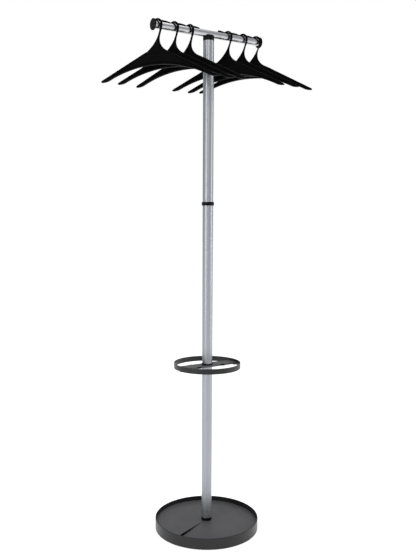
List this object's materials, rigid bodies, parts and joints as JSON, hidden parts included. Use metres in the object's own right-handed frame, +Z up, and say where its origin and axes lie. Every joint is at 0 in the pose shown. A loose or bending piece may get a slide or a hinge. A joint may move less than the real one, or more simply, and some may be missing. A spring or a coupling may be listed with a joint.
{
  "type": "standing coat rack",
  "caption": "Standing coat rack: round weighted base, slim post with an umbrella ring, and a short bar that carries loose hangers in toothed rails.",
  "frame": {"origin": "middle of the round base, on the floor", "axes": "+Z up along the post, +X along the hanger bar, +Y across it"},
  "size_m": [0.6394, 0.36, 1.6848],
  "materials": {
    "base_lacquer": "gloss",
    "ballast_iron": "rough",
    "cover_steel": "satin",
    "screw_steel": "zinc plated",
    "foot_rubber": "matte",
    "black_plastic": "semi gloss",
    "post_aluminium": "satin anodised",
    "inner_steel": "plain",
    "bar_chrome": "bright",
    "rail_plastic": "matte",
    "hanger_plastic": "satin",
    "holder_lacquer": "satin",
    "holder_steel": "satin"
  },
  "bodies": {
    "stand": {"base_shell": "base_lacquer", "drip_disc": "base_lacquer", "base_ballast": "ballast_iron", "base_bottom_cover": "cover_steel", "base_cover_screws": "screw_steel", "rubber_feet": "foot_rubber", "post_bolt": "screw_steel", "post_bolt_washer": "screw_steel", "foot_collar": "black_plastic", "foot_insert": "screw_steel", "lower_tube": "post_aluminium", "joint_spigot": "inner_steel", "joint_screw": "screw_steel", "joint_ring": "black_plastic"},
    "upper_post": {"upper_tube": "post_aluminium", "bar_saddle": "black_plastic", "bar_bolt": "screw_steel", "bar_rivet_nut": "screw_steel", "bar_tube": "bar_chrome", "bar_end_cap_left": "black_plastic", "bar_end_cap_right": "black_plastic", "hanger_rail_left": "rail_plastic", "hanger_rail_right": "rail_plastic"},
    "umbrella_holder": {"umbrella_ring": "holder_lacquer", "umbrella_cross_piece": "holder_steel", "umbrella_hub": "black_plastic", "umbrella_hub_screw": "screw_steel", "umbrella_rivets": "screw_steel", "umbrella_prongs": "rail_plastic"},
    "hanger_1": {"hanger_1": "hanger_plastic"},
    "hanger_2": {"hanger_2": "hanger_plastic"},
    "hanger_3": {"hanger_3": "hanger_plastic"},
    "hanger_4": {"hanger_4": "hanger_plastic"},
    "hanger_5": {"hanger_5": "hanger_plastic"},
    "hanger_6": {"hanger_6": "hanger_plastic"}
  },
  "joints": [
    {"name": "post_lift_out", "type": "slide", "parent": "stand", "child": "upper_post", "axis": [0, 0, 1], "range_m": [0, 0.069]},
    {"name": "umbrella_holder_height", "type": "slide", "parent": "stand", "child": "umbrella_holder", "axis": [0, 0, 1], "range_m": [-0.2, 0.2]},
    {"name": "hanger_1_swing", "type": "hinge", "parent": "upper_post", "child": "hanger_1", "pos_m": [-0.189, 0, 1.6648], "axis": [1, 0, 0], "range_deg": [-7, 7]},
    {"name": "hanger_2_swing", "type": "hinge", "parent": "upper_post", "child": "hanger_2", "pos_m": [-0.13, 0, 1.6648], "axis": [1, 0, 0], "range_deg": [-7, 7]},
    {"name": "hanger_3_swing", "type": "hinge", "parent": "upper_post", "child": "hanger_3", "pos_m": [-0.073, 0, 1.6648], "axis": [1, 0, 0], "range_deg": [-7, 7]},
    {"name": "hanger_4_swing", "type": "hinge", "parent": "upper_post", "child": "hanger_4", "pos_m": [0.0735, 0, 1.6648], "axis": [1, 0, 0], "range_deg": [-7, 7]},
    {"name": "hanger_5_swing", "type": "hinge", "parent": "upper_post", "child": "hanger_5", "pos_m": [0.135, 0, 1.6648], "axis": [1, 0, 0], "range_deg": [-7, 7]},
    {"name": "hanger_6_swing", "type": "hinge", "parent": "upper_post", "child": "hanger_6", "pos_m": [0.189, 0, 1.6648], "axis": [1, 0, 0], "range_deg": [-7, 7]}
  ]
}
